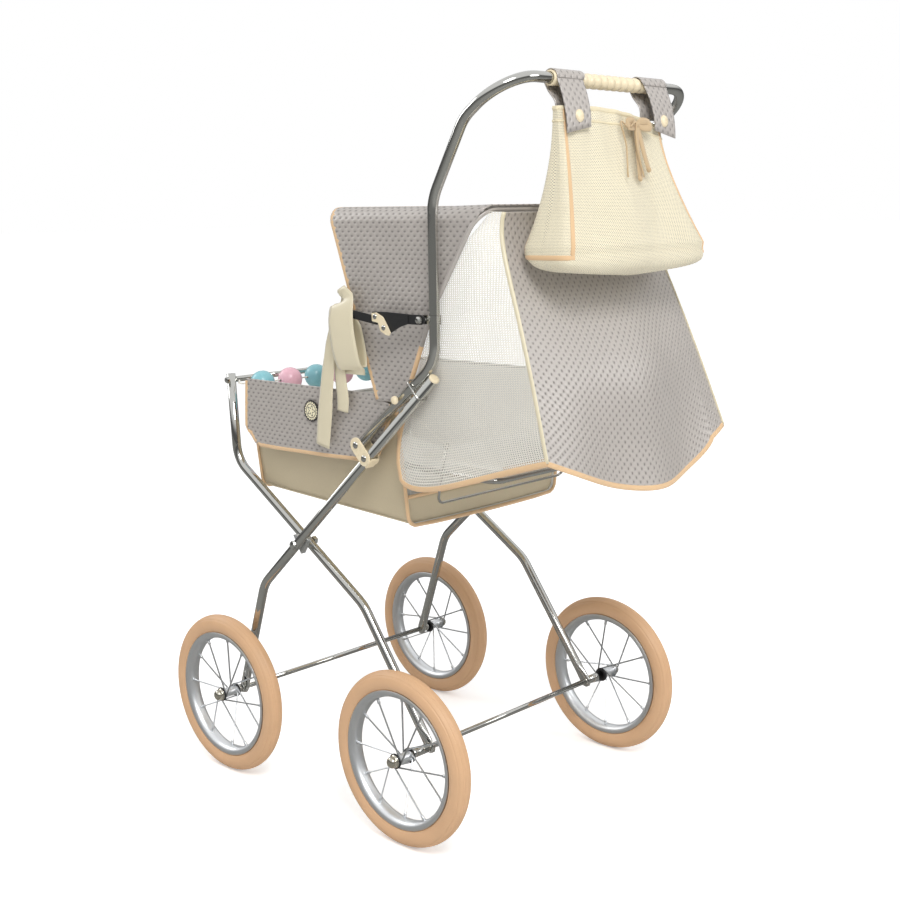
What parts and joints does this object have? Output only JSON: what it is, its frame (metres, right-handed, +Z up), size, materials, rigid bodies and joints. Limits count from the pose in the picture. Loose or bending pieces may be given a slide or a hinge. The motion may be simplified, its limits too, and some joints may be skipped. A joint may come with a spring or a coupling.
{
  "type": "doll's pram",
  "caption": "Doll's pram with crossed folding legs, spoked wheels, push handle, folding hood with net cape, reclining backrest and hanging net bag.",
  "frame": {"origin": "on the ground, under the centre of the whole pram's bounding box", "axes": "+Z up, +X towards the pram's left side, the front faces -Y and the push handle is at +Y"},
  "size_m": [0.4412, 0.6752, 0.9013],
  "materials": {
    "chrome": "polished chrome plate",
    "wheel_steel": "bright satin steel",
    "black_steel": "black lacquer",
    "tyre_rubber": "smooth solid tan rubber",
    "cream_plastic": "smooth cream moulding",
    "leatherette": "fine-grained matt leatherette",
    "grey_quilt": "dimpled quilted satin",
    "cream_net": "fine open net",
    "satin": "satin ribbon",
    "padding": "white cotton",
    "board": "plain fibreboard",
    "cord": "twisted cotton",
    "bead_plastic": "smooth moulded balls",
    "badge_cloth": "printed woven patch"
  },
  "bodies": {
    "root": {"front_leg_left": "chrome", "front_leg_right": "chrome", "front_leg_cap_left": "cream_plastic", "front_leg_cap_right": "cream_plastic", "crossing_bolt_left": "chrome", "crossing_bolt_right": "chrome", "crossing_bracket_left": "chrome", "crossing_bracket_right": "chrome", "handle_clamp_left": "cream_plastic", "handle_clamp_right": "cream_plastic", "front_axle": "chrome", "tub": "leatherette", "base_board": "board", "mattress": "padding", "apron_left": "grey_quilt", "apron_right": "grey_quilt", "badge": "badge_cloth", "recline_cord_left": "cord", "recline_cord_right": "cord"},
    "rear_frame": {"rear_leg_left": "chrome", "rear_leg_right": "chrome", "rear_axle": "chrome", "front_bar": "chrome", "front_bar_nut_left": "chrome", "front_bar_nut_right": "chrome", "ball_string": "bead_plastic"},
    "handle": {"handle": "chrome", "grip": "cream_plastic", "hood_rear_bow": "chrome", "hood_pin_left": "cream_plastic", "hood_pin_right": "cream_plastic", "stay_clamp_left": "chrome", "stay_clamp_right": "chrome", "hood": "grey_quilt", "cape": "grey_quilt"},
    "hood_bow": {"hood_front_bow": "chrome", "ribbon_bow": "satin"},
    "backrest": {"backrest_frame": "chrome", "support_hoop": "chrome", "backrest_pad": "padding"},
    "bag": {"net_bag": "cream_net", "bag_strap_left": "grey_quilt", "bag_strap_right": "grey_quilt", "drawstring_left": "cord", "drawstring_right": "cord"},
    "front_wheel_left": {"tyre_front_left": "tyre_rubber", "wheel_front_left": "wheel_steel"},
    "front_wheel_right": {"tyre_front_right": "tyre_rubber", "wheel_front_right": "wheel_steel"},
    "rear_wheel_left": {"tyre_rear_left": "tyre_rubber", "wheel_rear_left": "wheel_steel"},
    "rear_wheel_right": {"tyre_rear_right": "tyre_rubber", "wheel_rear_right": "wheel_steel"},
    "lock_ring_left": {"lock_ring_left": "chrome"},
    "stay_rear_left": {"stay_rear_link_left": "black_steel"},
    "stay_front_left": {"stay_front_link_left": "black_steel"},
    "lock_ring_right": {"lock_ring_right": "chrome"},
    "stay_rear_right": {"stay_rear_link_right": "black_steel"},
    "stay_front_right": {"stay_front_link_right": "black_steel"}
  },
  "joints": [
    {"name": "front_wheel_left_spin", "type": "hinge", "parent": "root", "child": "front_wheel_left", "pos_m": [0.202, -0.2296, 0.108], "axis": [1, 0, 0], "continuous": true},
    {"name": "front_wheel_right_spin", "type": "hinge", "parent": "root", "child": "front_wheel_right", "pos_m": [-0.202, -0.2296, 0.108], "axis": [1, 0, 0], "continuous": true},
    {"name": "rear_wheel_left_spin", "type": "hinge", "parent": "rear_frame", "child": "rear_wheel_left", "pos_m": [0.202, 0.1104, 0.108], "axis": [1, 0, 0], "continuous": true},
    {"name": "rear_wheel_right_spin", "type": "hinge", "parent": "rear_frame", "child": "rear_wheel_right", "pos_m": [-0.202, 0.1104, 0.108], "axis": [1, 0, 0], "continuous": true},
    {"name": "chassis_fold", "type": "hinge", "parent": "root", "child": "rear_frame", "pos_m": [0, -0.1056, 0.331], "axis": [-1, 0, 0], "range_deg": [0, 28], "deforming": ["tub"]},
    {"name": "handle_fold", "type": "hinge", "parent": "root", "child": "handle", "pos_m": [0, 0.0214, 0.476], "axis": [1, 0, 0], "range_deg": [0, 50]},
    {"name": "hood_fold", "type": "hinge", "parent": "handle", "child": "hood_bow", "pos_m": [0, 0.0924, 0.537], "axis": [-1, 0, 0], "range_deg": [0, 44], "deforming": ["hood"]},
    {"name": "stay_rear_left_turn", "type": "hinge", "parent": "handle", "child": "stay_rear_left", "pos_m": [0.1844, 0.1394, 0.632], "axis": [-1, 0, 0], "range_deg": [0, 70.1]},
    {"name": "stay_front_left_turn", "type": "hinge", "parent": "stay_rear_left", "child": "stay_front_left", "pos_m": [0.1817, 0.0634, 0.628], "axis": [1, 0, 0], "range_deg": [0, 165.4]},
    {"name": "stay_rear_right_turn", "type": "hinge", "parent": "handle", "child": "stay_rear_right", "pos_m": [-0.1844, 0.1394, 0.632], "axis": [-1, 0, 0], "range_deg": [0, 70.1]},
    {"name": "stay_front_right_turn", "type": "hinge", "parent": "stay_rear_right", "child": "stay_front_right", "pos_m": [-0.1817, 0.0634, 0.628], "axis": [1, 0, 0], "range_deg": [0, 165.4]},
    {"name": "lock_ring_left_slide", "type": "slide", "parent": "handle", "child": "lock_ring_left", "axis": [0, 0.7337, 0.6795], "range_m": [0, 0.035]},
    {"name": "lock_ring_right_slide", "type": "slide", "parent": "handle", "child": "lock_ring_right", "axis": [0, 0.7337, 0.6795], "range_m": [0, 0.035]},
    {"name": "backrest_raise", "type": "hinge", "parent": "root", "child": "backrest", "pos_m": [0, 0.0484, 0.446], "axis": [1, 0, 0], "range_deg": [0, 45], "deforming": ["recline_cord_left", "recline_cord_right"]},
    {"name": "bag_swing", "type": "hinge", "parent": "handle", "child": "bag", "pos_m": [0, 0.2584, 0.891], "axis": [1, 0, 0], "range_deg": [0, 35]}
  ],
  "couplings": [
    {"joint": "stay_rear_left_turn", "follows": "hood_fold", "ratio": 1.5824},
    {"joint": "stay_front_left_turn", "follows": "hood_fold", "ratio": 3.748},
    {"joint": "stay_rear_right_turn", "follows": "hood_fold", "ratio": 1.5824},
    {"joint": "stay_front_right_turn", "follows": "hood_fold", "ratio": 3.748}
  ]
}
